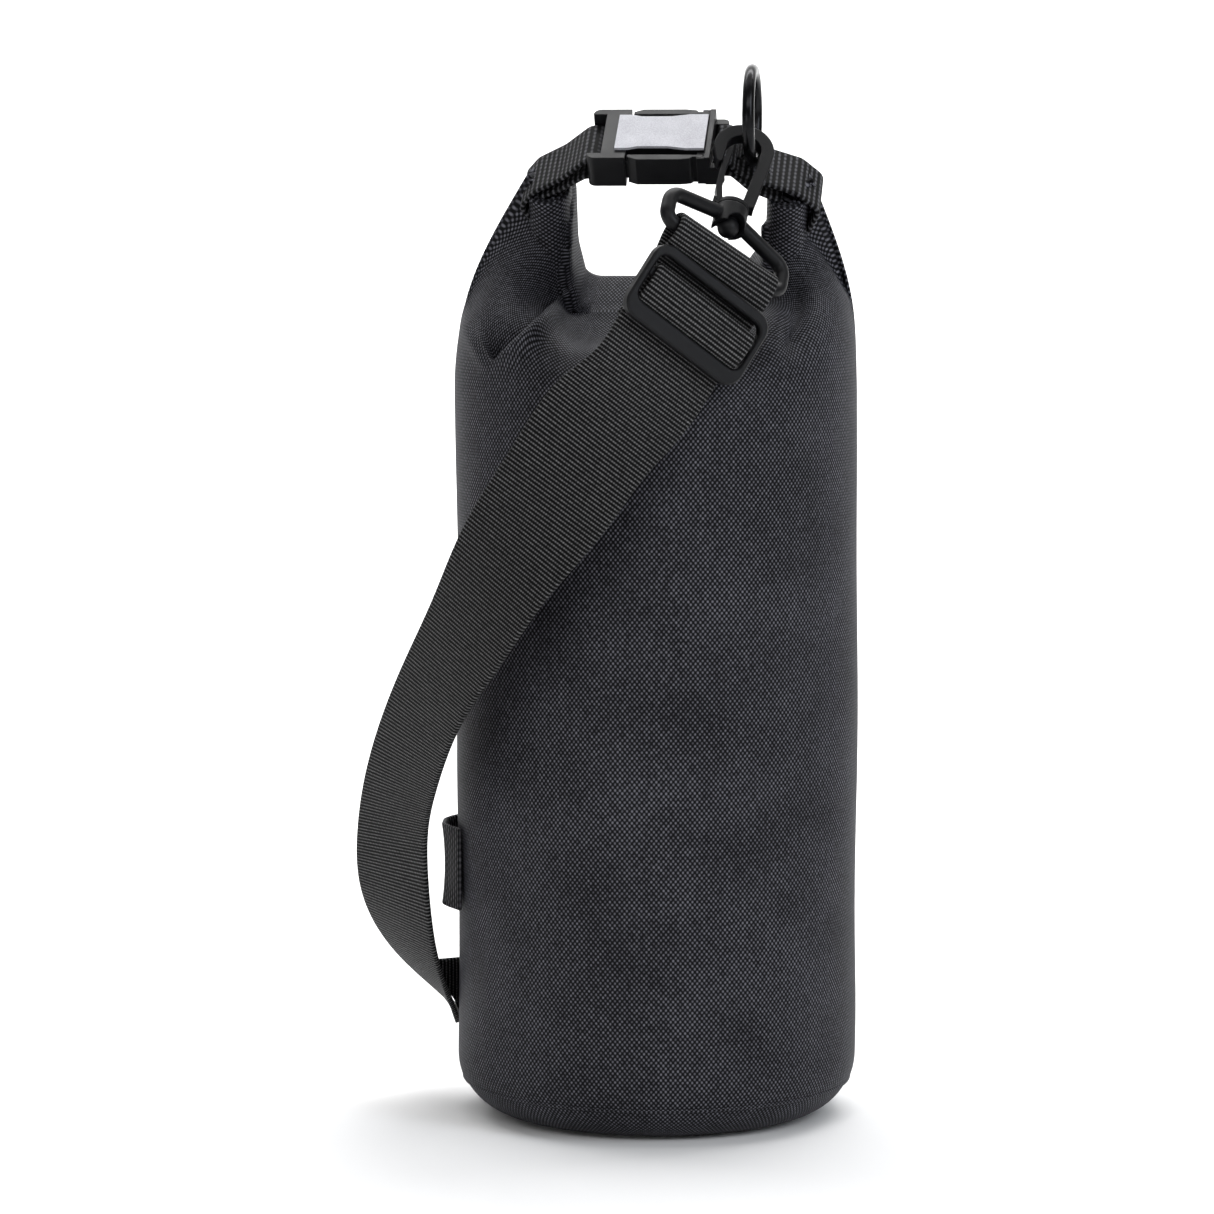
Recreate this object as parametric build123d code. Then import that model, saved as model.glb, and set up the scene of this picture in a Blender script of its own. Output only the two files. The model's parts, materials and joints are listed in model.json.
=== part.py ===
from build123d import *
import os

# Roll-top fabric bag with a clip-on shoulder strap. Millimetres, +Z up, front towards -Y.
# The origin is the centre of the flat base.

# ---- driving dimensions: bag ----
BAG_R = 64.0             # outer radius of the fabric tube
WALL = 1.2               # fabric wall
BASE_FILLET = 19.0       # rounding between base and wall
SEAM_Z = 11.5            # height of the seam between base panel and tube
SEAM_STEP = 0.4          # the tube stands proud of the base panel at the seam
TUBE_TOP = 228.0         # the tube starts to flatten here
SHOULDER_Z = 262.0       # height of the shoulder corners
MOVE_GAP = 0.4           # clearance between pieces that move apart
TOUCH_GAP = 0.35         # clearance between pieces that lie side by side

# ---- driving dimensions: roll closure and its webbing ----
ROLL_HALF_DEPTH = 13.0   # half of the rolled band's depth
CLOSURE_WIDTH = 20.0     # closure webbing width
CLOSURE_T = 1.4          # closure webbing thickness
STIFFENER_T = 1.0
STIFFENER_WIDTH = 20.0

# ---- driving dimensions: buckle (x along it, p across it, q outward) ----
BUCKLE_X = 4.5           # the buckle's zero along the arch
BUCKLE_Q = 64.5          # mid-plane height above the roll's centre
BUCKLE_HALF_W = 13.5
PRONG_ROOT = (14.2, 11.9)
PRONG_ROOT_R = 1.1
SHELL_END = 15.4         # the socket's mouth
RUNNING_GAP = 0.08

# ---- driving dimensions: ring, hook, swivel loop ----
RING_R = 14.05
RING_WIRE_R = 1.9
RING_X = 34.5
RING_Q = 76.0
HOOK_T = 4.3
HOOK_ARCH_R = 7.4        # centreline radius of the hook's arch
HOOK_BAR = 4.0
GATE_PIVOT = (-4.25, -28.9)
GATE_KNUCKLE_R = 1.25
STEM_R = 2.6
BOSS_R = 5.2
BALL_R = 3.4
BAR_BELOW_ARCH = 49.2    # loop bar centre below the arch's top, along the stem
LOOP_WIRE_R = 2.3
LOOP_END_X = 22.9
LOOP_SHOULDER_Z = 10.4

# ---- driving dimensions: shoulder strap and slider ----
STRAP_W = 39.0
STRAP_T = 1.8
SLIDER_W = 45.5
SLIDER_H = 25.3
SLIDER_T = 3.2
SLIDER_TRAVEL = 12.0     # straight run of strap below the slider
STRAP_BEHIND_SLIDER = 5.8  # from the slider's centre plane to the middle of the webbing
FOLD_LENGTH = 5.0        # from the loop's bar to where the strap's two layers meet


def frame_at(origin, across, up):
    """A plane whose Z runs along up and whose X lies as near across as a right angle allows."""
    z_dir = Vector(*up).normalized()
    x_dir = Vector(*across)
    x_dir = (x_dir - z_dir * x_dir.dot(z_dir)).normalized()
    return Plane(origin=Vector(*origin), x_dir=x_dir, z_dir=z_dir)


# ---- local frames: X across, Z up or outward, Y away from the viewer ----
ARCH = frame_at((0, 12, 256), (0.9925, -0.1219, 0), (-0.0699, -0.5693, 0.8192))
STEM_DIR = (0.168, 0.630, 0.758)
HOOK = frame_at((27.3, -34, 312.3), (0.975, 0, -0.216), STEM_DIR)
LOOP = frame_at(HOOK.origin - HOOK.z_dir * BAR_BELOW_ARCH, (0.756, 0.41, -0.51), STEM_DIR)
SLIDER = frame_at((11.08, -72.63, 257.4), (0.765, 0.34, -0.55), (0.517, 0.25, 0.818))


def place(shape, plane):
    return plane.location * shape


def slab(points, half_depth):
    """A closed outline in X and Z, given thickness both ways along Y."""
    face = make_face(Plane.XZ * Polyline(*points, close=True))
    return extrude(face, amount=half_depth, both=True)


def block(x0, x1, y0, y1, z0, z1):
    box = Box(x1 - x0, y1 - y0, z1 - z0)
    return Pos((x0 + x1) / 2, (y0 + y1) / 2, (z0 + z1) / 2) * box


def rod(radius, length, x, z):
    """A cylinder along Y through (x, z)."""
    return Pos(x, 0, z) * Rot(90, 0, 0) * Cylinder(radius, length)


def ribbon(points, radii, thickness, width):
    """Webbing seen edge on: a path in X and Z with rounded corners, width along Y."""
    path = FilletPolyline(*[(x, z) for x, z in points], radius=radii)
    face = trace(path, line_width=thickness)
    return extrude(Plane.XZ * face, amount=width / 2, both=True)


def biggest(shape):
    """The largest solid of a cut, so that a shaved-off crumb is dropped."""
    return max(shape.solids(), key=lambda solid: solid.volume)


# ---------------------------------------------------------------- bag

LEFT_HALF = [(2, 7), (-17, 8), (-23, 12), (-25, 20), (-24, 45), (-28, 48.6), (-33.5, 48.6),
             (-38.6, 44.6), (-41.5, 41.5), (-48.6, 30), (-57.3, 20), (-64.8, 0), (-63.5, -4),
             (-34, -7), (2, -7)]
RIGHT_HALF = [(2.5, 7), (22, 8), (32, 13.5), (40, 25), (41.8, 44), (44, 49.8), (48.3, 47.4),
              (50.2, 38.5), (55, 26), (62.5, 3), (61.5, -3), (34, -7), (2.5, -7)]


def grown(points, margin):
    """The outline offset outwards."""
    face = make_face(Plane.XZ * Polyline(*points, close=True))
    return extrude(offset(face, amount=margin), amount=ROLL_HALF_DEPTH + margin, both=True)


def section(z, half_x, half_y, centre_y):
    return Plane(origin=(0, centre_y, z)) * Ellipse(half_x, half_y)


def dome(inset):
    """Shoulder of the bag from the round tube to the flattened mouth."""
    middle_z = 246
    lower = loft([Plane(origin=(0, 0, TUBE_TOP)) * Circle(BAG_R - inset),
                  section(middle_z, BAG_R - 0.1 - inset, 46 - inset, 4)])
    upper = loft([section(middle_z, BAG_R - 0.1 - inset, 46 - inset, 4),
                  section(SHOULDER_Z - inset, BAG_R - 1 - inset, 20 - inset, 12)])
    return lower + upper


def tube(inset):
    height = TUBE_TOP - inset
    body = Pos(0, 0, inset + height / 2) * Cylinder(BAG_R - inset, height)
    foot = body.edges().sort_by(Axis.Z)[0]
    return fillet(foot, BASE_FILLET - inset)


def bag_body():
    """Hollow tube and shoulder, with pockets for the rolled mouth and the way its right half takes."""
    shell = (tube(0) + dome(0)) - (tube(WALL) + dome(WALL))
    shell -= block(-90, 90, -90, 90, -1, SEAM_Z + 0.02)
    left = grown(LEFT_HALF, TOUCH_GAP)
    low = -7 - MOVE_GAP
    right_way = [(1.5, 60), (1.5, low), (51.5, low), (84, low + 4), (84, 60)]
    right = slab(right_way, ROLL_HALF_DEPTH + MOVE_GAP)
    return biggest(shell - place(left, ARCH) - place(right, ARCH))


def base_panel():
    outer = tube(SEAM_STEP)
    inner = tube(SEAM_STEP + WALL)
    drop = Pos(0, 0, -SEAM_STEP)
    return biggest((drop * outer - drop * inner) & block(-90, 90, -90, 90, -1, SEAM_Z))


STIFFENER_PATH = [(-31, 44), (-31, 0), (26, 0), (39.5, 13), (44, 44)]
STIFFENER_BENDS = [9, 10, 10]


def stiffener_strip():
    return ribbon(STIFFENER_PATH, STIFFENER_BENDS, STIFFENER_T, STIFFENER_WIDTH)


def stiffener_cavity():
    """The sleeve round the stiffener, a little longer, wider and thicker than the strip."""
    (x0, z0), *middle, (x1, z1) = STIFFENER_PATH
    path = [(x0, z0 + 1), *middle, (x1 + 0.14, z1 + 1)]
    return ribbon(path, STIFFENER_BENDS, STIFFENER_T + 2 * TOUCH_GAP, STIFFENER_WIDTH + 2 * TOUCH_GAP)


def roll_half(points):
    return biggest(slab(points, ROLL_HALF_DEPTH) - stiffener_cavity())


def side_loop():
    """A vertical-width loop of webbing that stands off the left side."""
    width = 26.5
    path = FilletPolyline((-61.9, 19.7), (-65.5, 14.2), (-68, 7), (-68.2, -4.5), (-65.8, -11),
                          (-62.8, -17.9), radius=4.0)
    face = trace(path, line_width=1.4)
    return Pos(0, 0, 67) * extrude(face, amount=width)


# ---------------------------------------------------------------- closure webbing

def closure_webbing_left():
    """From the roll's left end to the socket's bar, round it and back."""
    path = [(-39.6, 46.2), (-34.6, 50.9), (-25, 57.2), (-17.1, 64.1), (-13.4, 64.1), (-13.4, 59.5),
            (-18, 58.2), (-30, 51)]
    return ribbon(path, [3, 3, 1.8, 1.1, 1.1, 2], CLOSURE_T, CLOSURE_WIDTH)


def closure_webbing_right():
    """From the roll's right end to the plug's bar, round it and back."""
    path = [(52.4, 38.2), (50.2, 48.4), (43.2, 52.2), (36.7, 57.2), (29.2, 61.69), (26.9, 65.2),
            (22.95, 65.2), (22.95, 60.6), (28, 60.6), (33.5, 54.6), (38.2, 49.6)]
    return ribbon(path, [2.5, 3, 6, 2, 1.1, 1.1, 1.1, 1.8, 3], CLOSURE_T, CLOSURE_WIDTH)


def ring_keeper():
    """Narrow webbing arched over the ring's wire and sewn to the closure webbing."""
    seat = Plane(origin=(RING_X, 0, 59.34), x_dir=(-0.858, 0, 0.5135), z_dir=(0.5135, 0, 0.858))
    wire = (1.345, 2.25)
    arch = rod(3.9, 8, *wire)
    feet = block(-5.6, 5.3, -4, 4, 0, 0.9)
    keeper = (arch + feet) - rod(3.0, 9, *wire) - block(-9, 9, -5, 5, -5, 0.02)
    return seat.location * keeper


def ring():
    return Pos(RING_X, 0, RING_Q) * Rot(0, 90, 0) * Torus(RING_R, RING_WIRE_R)


# ---------------------------------------------------------------- side-release buckle

def plan(points, z0, z1):
    """An outline in X and Y, given height from z0 to z1."""
    face = make_face(Polyline(*points, close=True))
    return Pos(0, 0, z0) * extrude(face, amount=z1 - z0)


def mirrored(points):
    """An outline on the +Y side, closed by its mirror image."""
    return points + [(x, -y) for x, y in reversed(points)]


def buckle_socket():
    head = block(-21, -9, -BUCKLE_HALF_W, BUCKLE_HALF_W, -5.5, 5.0)
    head = fillet(head.edges().filter_by(Axis.Z).group_by(Axis.X)[0], 2.5)
    neck = plan(mirrored([(-9.1, 8.4), (-6, 7.9), (4, 7.9), (10, 9.1), (SHELL_END, 9.1)]), -5.0, 5.0)
    socket = head + neck
    socket -= block(-13, SHELL_END + 1, -5.2, 5.2, -2.5, 2.5)
    socket -= block(-18.9, -16.7, -10.7, 10.7, -6, 6)
    socket -= block(-22, -18.8, -10.7, 10.7, -1.4, 6)
    socket -= block(-22, -18.8, -10.7, 10.7, -6, -4.0)
    for side in (1, -1):
        low, high = sorted((side * 9.9, side * 12.9))
        socket -= block(-15.6, -8, low, high, -3.4, 3.4)
    return Pos(BUCKLE_X, 0, BUCKLE_Q) * biggest(socket)


def buckle_plate():
    outline = mirrored([(-12.5, 9.2), (-8.5, 9.2), (-5.5, 8.3), (4, 8.3), (9.6, 9.4),
                        (SHELL_END, 9.4)])
    plate = plan(outline, 5.02, 5.85)
    return Pos(BUCKLE_X, 0, BUCKLE_Q) * plate


def buckle_plug():
    base = block(SHELL_END + 0.3, 21.5, -BUCKLE_HALF_W, BUCKLE_HALF_W, -5.0, 5.0)
    base = fillet(base.edges().filter_by(Axis.Z).group_by(Axis.X)[-1], 2.0)
    base -= block(17.4, 19.5, -10.7, 10.7, -6, 6)
    base -= block(19.4, 22, -10.7, 10.7, -0.3, 6)
    base -= block(19.4, 22, -10.7, 10.7, -6, -2.9)
    for side in (1, -1):
        low, high = sorted((side * 10.7, side * 14))
        base -= block(17.4, 22, low, high, 1.2, 6)
    tongue = block(-7, SHELL_END + 0.4, -4.6, 4.6, -1.9, 1.9)
    tongue = fillet(tongue.edges().filter_by(Axis.Z).group_by(Axis.X)[0], 2.0)
    plug = base + tongue
    root_x, root_y = PRONG_ROOT
    for side in (1, -1):
        low, high = sorted((side * 10.3, side * BUCKLE_HALF_W))
        plug += block(13.3, SHELL_END + 0.4, low, high, -4.7, 4.7)
    for side in (1, -1):
        plug -= Pos(root_x, side * root_y, 0) * Cylinder(PRONG_ROOT_R + RUNNING_GAP, 12)
        low, high = sorted((side * (root_y - 1.0), side * (root_y + 1.0)))
        plug -= block(12, root_x, low, high, -6, 6)
    return Pos(BUCKLE_X, 0, BUCKLE_Q) * biggest(plug)


def prong(side):
    """A spring arm: root, neck, finger pad and nose. side is -1 at the front and 1 at the rear."""
    root_x, root_y = PRONG_ROOT
    outline = [(root_x, root_y + 0.55), (12, root_y + 0.55), (11.2, 13.4), (8, 13.9), (-5.5, 13.9),
               (-8, 12.6), (-14, 12.5), (-15, 11.9), (-14.4, 11.3), (-8, 11.2), (11.2, 11.2),
               (12, root_y - 0.55), (root_x, root_y - 0.55)]
    pad = plan([(x, side * y) for x, y in outline], -4.7, 4.7)
    nose_trim = block(-16, -8.3, side * 12.5 - 2.5, side * 12.5 + 2.5, -5, 5)
    nose = block(-16, -8.3, side * 12.5 - 2.5, side * 12.5 + 2.5, -3.0, 3.0)
    arm = pad - (nose_trim - nose)
    arm += Pos(root_x, side * root_y, 0) * Cylinder(PRONG_ROOT_R, 9.4)
    return Pos(BUCKLE_X, 0, BUCKLE_Q) * biggest(arm)


# ---------------------------------------------------------------- snap hook

def hook_body():
    """Arch with its nose on the left, right arm, base block, collar, stem and ball."""
    outer, inner = HOOK_ARCH_R + HOOK_BAR / 2, HOOK_ARCH_R - HOOK_BAR / 2
    arch = rod(outer, HOOK_T, 0, -HOOK_ARCH_R) - rod(inner, HOOK_T + 1, 0, -HOOK_ARCH_R)
    arch -= block(-12, 12, -4, 4, -20, -HOOK_ARCH_R)
    half = HOOK_T / 2
    right_arm = slab([(outer, -HOOK_ARCH_R), (8.1, -16.8), (6.5, -28.3), (2.7, -28.3), (4.8, -14.1),
                      (inner, -HOOK_ARCH_R)], half)
    nose = slab([(-outer, -HOOK_ARCH_R), (-inner, -HOOK_ARCH_R), (-5.95, -13.4), (-6.7, -14.3),
                 (-7.7, -13.6)], half)
    base = block(-6.3, 6.5, -half, half, -29.6, -28.2)
    base += rod(2.0, HOOK_T, GATE_PIVOT[0], GATE_PIVOT[1])
    base -= block(-7, 0, -3, 3, GATE_PIVOT[1] + 0.7, -20)
    collar = Pos(0, 0, -30.1) * Cylinder(BOSS_R, 1.4)
    stem = Pos(0, 0, -33.6) * Cylinder(STEM_R, 7)
    ball = Pos(0, 0, -37.6) * Sphere(BALL_R)
    hook = arch + right_arm + nose + base + collar + stem + ball
    seat = rod(GATE_KNUCKLE_R + RUNNING_GAP, HOOK_T + 2, *GATE_PIVOT)
    return biggest(hook - seat)


def hook_gate():
    """Curved leaf that closes the hook from the base knuckle to the inside of the nose."""
    leaf = slab([(-3.4, -28.9), (-4.3, -23.7), (-4.15, -16), (-3.1, -7.8), (-3.7, -7.0), (-4.5, -7.5),
                 (-5.55, -13.0), (-6.1, -18), (-6.3, -23.7), (-5.1, -28.9)], 1.7)
    return biggest(leaf + rod(GATE_KNUCKLE_R, 3.4, *GATE_PIVOT))


def swivel_loop():
    """Wire loop with a swivel boss. X runs along the strap bar, Z towards the hook."""
    path = FilletPolyline((0, 0, 0), (-LOOP_END_X, 0, 0), (-LOOP_END_X, 0, LOOP_SHOULDER_Z),
                          (-3, 0, 15.2), radius=[3.6, 4.6])
    start = Plane(origin=(0, 0, 0), x_dir=(0, 1, 0), z_dir=(-1, 0, 0))
    half = sweep(start * Circle(LOOP_WIRE_R), path=path)
    loop = half + mirror(half, about=Plane.YZ)
    boss_low, boss_high = 10.9, BAR_BELOW_ARCH - 31.1
    boss = Pos(0, 0, (boss_low + boss_high) / 2) * Cylinder(BOSS_R, boss_high - boss_low)
    loop = loop + boss
    bore = Pos(0, 0, boss_high) * Cylinder(STEM_R + RUNNING_GAP, 20)
    ball_z = BAR_BELOW_ARCH - 37.6
    chamber = Pos(0, 0, ball_z) * Sphere(BALL_R + 0.5)
    chamber += Pos(0, 0, ball_z - 3) * Cylinder(BALL_R + 0.5, 6)
    window = rod(BALL_R, 14, 0, boss_low)
    cut = Pos(0, 0, 0) * block(-8, 8, -8, 8, 3.0, 30)
    loop = loop - ((bore + chamber + window) & cut)
    return biggest(loop)


# ---------------------------------------------------------------- slider and strap

def tri_glide():
    outer = RectangleRounded(SLIDER_W, SLIDER_H, 5.5)
    window_low, window_high = -SLIDER_H / 2 + 5.5, SLIDER_H / 2 - 3.5
    window = Pos(0, (window_low + window_high) / 2) * RectangleRounded(41, window_high - window_low, 3.0)
    frame = extrude(Plane.XZ * (outer - window), amount=SLIDER_T / 2, both=True)
    frame = chamfer(frame.edges().group_by(Axis.Y)[0], 0.6)
    bar = block(-20.8, 20.8, -1.0, 1.0, 1.0, 3.6)
    return biggest(frame + bar)


def strap_wrap():
    """The turn of webbing over the slider's centre bar and down through the lower window."""
    side = [(-0.6, -5.4), (-2.3, -3.0), (-2.3, 5.1), (2.3, 5.1), (2.3, -4)]
    path = FilletPolyline(*side, radius=[2, 2.25, 2.25])
    face = trace(path, line_width=STRAP_T)
    return extrude(Plane.YZ * face, amount=STRAP_W / 2, both=True)


def strap_section(centre, across, along, thickness):
    """A flat rectangle of webbing at one station: its width lies exactly along across."""
    x_dir = Vector(*across).normalized()
    normal = along.cross(x_dir).normalized()
    plane = Plane(origin=centre, x_dir=x_dir, z_dir=x_dir.cross(normal))
    return plane * Rectangle(STRAP_W, thickness)


def strap_sections(stations, thickness):
    """One section for each station of (centre, across)."""
    centres = [Vector(*centre) for centre, across in stations]
    last = len(stations) - 1
    sections = []
    for index, (centre, across) in enumerate(stations):
        along = centres[min(index + 1, last)] - centres[max(index - 1, 0)]
        sections.append(strap_section(centres[index], across, along, thickness))
    return sections


def strap_run(stations, thickness):
    """Straight-ruled webbing through the stations."""
    return loft(strap_sections(stations, thickness), ruled=True)


def triple(vector):
    return (vector.X, vector.Y, vector.Z)


def slider_station(height):
    """A strap station behind the slider's centre line, height above the slider's centre."""
    centre = SLIDER.origin + SLIDER.z_dir * height + SLIDER.y_dir * STRAP_BEHIND_SLIDER
    return (triple(centre), triple(SLIDER.x_dir))


def strap_route():
    """Every station below the slider, down to the base seam."""
    return [slider_station(-SLIDER_H / 2), slider_station(-SLIDER_H / 2 - SLIDER_TRAVEL)] + ROUTE


# The strap's route below the slider: centre of the webbing and the direction across it.
ROUTE = [((-17.5, -78.0, 223.5), (0.79, -0.05, -0.61)), ((-30, -78.5, 206), (0.78, -0.27, -0.56)),
         ((-47.5, -72.5, 181.5), (0.66, -0.55, -0.51)), ((-58.6, -62.5, 161), (0.57, -0.70, -0.43)),
         ((-70, -48, 140), (0.52, -0.79, -0.33)), ((-80.5, -28, 112), (0.57, -0.81, -0.16)),
         ((-84.8, -10, 87.6), (0.6, -0.8, 0)), ((-83.6, 0, 64.7), (0.59, -0.80, -0.1)),
         ((-75.6, 13, 43), (0.35, -0.94, 0)), ((-68.4, 20, 32.4), (0.10, -0.99, 0.11)),
         ((-64.9, 32, 23.5), (0.02, -0.99, 0.1))]
SPLIT = 6                # the station where the upper and lower strap meet


def strap_upper():
    """From the fold round the loop's bar, behind the slider and down the front."""
    bar, across = LOOP.origin, LOOP.x_dir
    behind = slider_station(8.5)
    top = Vector(*behind[0])
    down = top - bar
    down = (down - across * down.dot(across)).normalized()
    fold = Plane(origin=bar, x_dir=across, z_dir=-down)
    radius_in = LOOP_WIRE_R + TOUCH_GAP
    radius_out = radius_in + STRAP_T
    eye = Rot(0, 90, 0) * Cylinder(radius_out, STRAP_W)
    taper = [(-radius_out, 0), (-radius_out, -1), (-STRAP_T, -FOLD_LENGTH), (STRAP_T, -FOLD_LENGTH),
             (radius_out, -1), (radius_out, 0)]
    hollow = [(-radius_in, 0), (-radius_in, -0.5), (0, 1 - FOLD_LENGTH), (radius_in, -0.5), (radius_in, 0)]
    for_taper = make_face(Polyline(*taper, close=True))
    for_hollow = make_face(Polyline(*hollow, close=True))
    eye += extrude(Plane.YZ * for_taper, amount=STRAP_W / 2, both=True)
    eye -= extrude(Plane.YZ * for_hollow, amount=STRAP_W, both=True)
    eye -= Rot(0, 90, 0) * Cylinder(radius_in, STRAP_W + 2)
    join = (triple(bar + down * FOLD_LENGTH), triple(across))
    double = strap_run([join, behind, slider_station(-SLIDER_H / 2)], 2 * STRAP_T)
    single = loft(strap_sections(strap_route(), STRAP_T)[:SPLIT + 1], ruled=True)
    return biggest(place(eye, fold) + double + single)


def strap_lower():
    """From just below the upper strap's end down to the webbing's own end at the seam."""
    first, *others = strap_sections(strap_route(), STRAP_T)[SPLIT:]
    along = (others[0].center() - first.center()).normalized()
    return loft([Pos(*triple(along * TOUCH_GAP)) * first, *others], ruled=True)


def strap_anchor_tab():
    """Upright webbing tab from the bag's side out to the inner face of the strap's end."""
    upright = Plane(origin=(-61.9, 19.4, 0), x_dir=(-0.894, -0.447, 0), z_dir=(-0.447, 0.894, 0))
    outline = [(0, 28), (3.6, 28), (5.3, 32.4), (13.4, 43), (14.6, 46), (0, 46)]
    face = make_face(Polyline(*outline, close=True))
    return upright.location * extrude(face, amount=STRAP_T / 2, both=True)


# ---------------------------------------------------------------- write the pieces

def main():
    pieces = {
        "bag_body": bag_body(),
        "base_panel": base_panel(),
        "roll_left": place(roll_half(LEFT_HALF), ARCH),
        "roll_right": place(roll_half(RIGHT_HALF), ARCH),
        "stiffener_strip": place(stiffener_strip(), ARCH),
        "side_loop": side_loop(),
        "closure_webbing_left": place(closure_webbing_left(), ARCH),
        "closure_webbing_right": place(closure_webbing_right(), ARCH),
        "ring_keeper": place(ring_keeper(), ARCH),
        "ring": place(ring(), ARCH),
        "buckle_socket": place(buckle_socket(), ARCH),
        "buckle_plate": place(buckle_plate(), ARCH),
        "buckle_plug": place(buckle_plug(), ARCH),
        "prong_front": place(prong(-1), ARCH),
        "prong_rear": place(prong(1), ARCH),
        "hook_body": place(hook_body(), HOOK),
        "hook_gate": place(hook_gate(), HOOK),
        "swivel_loop": place(swivel_loop(), LOOP),
        "tri_glide": place(tri_glide(), SLIDER),
        "strap_wrap": place(strap_wrap(), SLIDER),
        "strap_upper": strap_upper(),
        "strap_lower": strap_lower(),
        "strap_anchor_tab": strap_anchor_tab(),
    }
    os.makedirs("parts", exist_ok=True)
    for node, shape in pieces.items():
        export_step(shape, "parts/" + node + ".step")


main()
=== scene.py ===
"""Roll-top bag with a clip-on shoulder strap: looks, materials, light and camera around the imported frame."""
import json
import math

import bmesh
import bpy
import numpy as np
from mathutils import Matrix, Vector


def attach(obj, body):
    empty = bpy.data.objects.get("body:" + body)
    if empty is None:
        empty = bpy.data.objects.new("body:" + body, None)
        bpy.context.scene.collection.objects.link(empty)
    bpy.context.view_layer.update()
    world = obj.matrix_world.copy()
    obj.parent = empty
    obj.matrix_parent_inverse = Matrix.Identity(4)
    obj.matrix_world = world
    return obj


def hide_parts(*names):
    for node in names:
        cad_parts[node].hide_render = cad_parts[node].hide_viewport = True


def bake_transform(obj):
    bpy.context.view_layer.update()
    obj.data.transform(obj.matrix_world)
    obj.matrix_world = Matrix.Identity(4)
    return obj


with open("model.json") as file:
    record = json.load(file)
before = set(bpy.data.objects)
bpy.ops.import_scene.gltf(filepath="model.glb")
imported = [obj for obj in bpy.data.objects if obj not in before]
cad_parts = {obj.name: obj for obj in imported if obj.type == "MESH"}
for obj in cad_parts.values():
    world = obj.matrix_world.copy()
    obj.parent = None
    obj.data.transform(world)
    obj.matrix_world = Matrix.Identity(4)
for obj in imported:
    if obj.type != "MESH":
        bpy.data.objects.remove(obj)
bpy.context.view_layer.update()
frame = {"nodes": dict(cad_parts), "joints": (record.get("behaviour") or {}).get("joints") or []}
NODES = frame["nodes"]
JOINTS = {joint["name"]: joint for joint in frame["joints"]}
MM = 0.001

# ---------------------------------------------------------------- driving sizes, in millimetres

BAG_R = 64.0
SEAM_Z = 11.5
BASE_FILLET = 19.0
TUBE_TOP = 226.0
ROLL_HALF = 13.2          # half depth of the rolled band
ROLL_T = 7.0              # half thickness of the rolled band
STRAP_W = 39.0
STRAP_T = 1.8
CORNER_Z = 262.0          # height of the shoulders' corners
CLOSURE_W = 20.0
CLOSURE_T = 1.4
FABRIC_T = 0.8
SEAM_LIP_R = 0.8          # half height of the welded lip
SIDE_LOOP_Z = 80.25       # middle height of the side loop
SIDE_LOOP_HALF = 13.25
TAB_LOW, TAB_HIGH = 27.6, 46.2


# ---------------------------------------------------------------- local frames

def unit(vector):
    vector = np.array(vector, float)
    return vector / np.linalg.norm(vector)


class Local:
    """A local frame in millimetres: X across, Z up or outward, Y away from the viewer."""

    def __init__(self, origin, across, up):
        self.o = np.array(origin, float)
        self.z = unit(up)
        across = np.array(across, float)
        self.x = unit(across - self.z * (across @ self.z))
        self.y = np.cross(self.z, self.x)

    def at(self, x, y, z):
        x, y, z = (np.asarray(value, float)[..., None] for value in (x, y, z))
        return self.o + x * self.x + y * self.y + z * self.z


SLIDE = unit(JOINTS["buckle_release"]["axis"])
RING_AXIS = unit(JOINTS["ring_tilt"]["axis"])
ARCH = Local((0, 12, 256), SLIDE, np.cross(SLIDE, RING_AXIS))
SLIDER_UP = -unit(JOINTS["slider_travel"]["axis"])
SLIDER = Local((11.08, -72.63, 257.4), (0.765, 0.34, -0.55), SLIDER_UP)
LOOP_BAR = np.array(JOINTS["loop_tilt"]["pos_m"]) / MM
LOOP_AXIS = unit(JOINTS["loop_tilt"]["axis"])


# ---------------------------------------------------------------- mesh helpers

def make_object(name, verts_mm, faces, uvs=None):
    """A mesh object from millimetre points; uvs are one (u, v) in metres for each face corner."""
    mesh = bpy.data.meshes.new(name)
    mesh.from_pydata([tuple(v) for v in np.asarray(verts_mm, float) * MM], [], faces)
    if uvs is not None:
        layer = mesh.uv_layers.new(name="cloth")
        layer.data.foreach_set("uv", (np.asarray(uvs, float) * MM).ravel())
    mesh.update()
    obj = bpy.data.objects.new(name, mesh)
    bpy.context.scene.collection.objects.link(obj)
    for polygon in mesh.polygons:
        polygon.use_smooth = True
    return obj


def tidy_mesh(obj, merge_mm=0.02):
    """Merges doubles and turns the faces outward."""
    bm = bmesh.new()
    bm.from_mesh(obj.data)
    bmesh.ops.remove_doubles(bm, verts=bm.verts, dist=merge_mm * MM)
    bmesh.ops.recalc_face_normals(bm, faces=bm.faces)
    bm.to_mesh(obj.data)
    bm.free()
    return obj


def grid_object(name, points, uv_points, close_columns=False):
    """A quad grid: points is rows x columns x 3, uv_points is rows x columns x 2."""
    rows, columns, _ = points.shape
    verts = points.reshape(-1, 3)
    faces, uvs = [], []
    for r in range(rows - 1):
        for c in range(columns - 1):
            corners = [(r, c), (r, c + 1), (r + 1, c + 1), (r + 1, c)]
            faces.append([a * columns + b for a, b in corners])
            uvs += [uv_points[a, b] for a, b in corners]
    obj = make_object(name, verts, faces, uvs)
    return tidy_mesh(obj) if close_columns else obj


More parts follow.
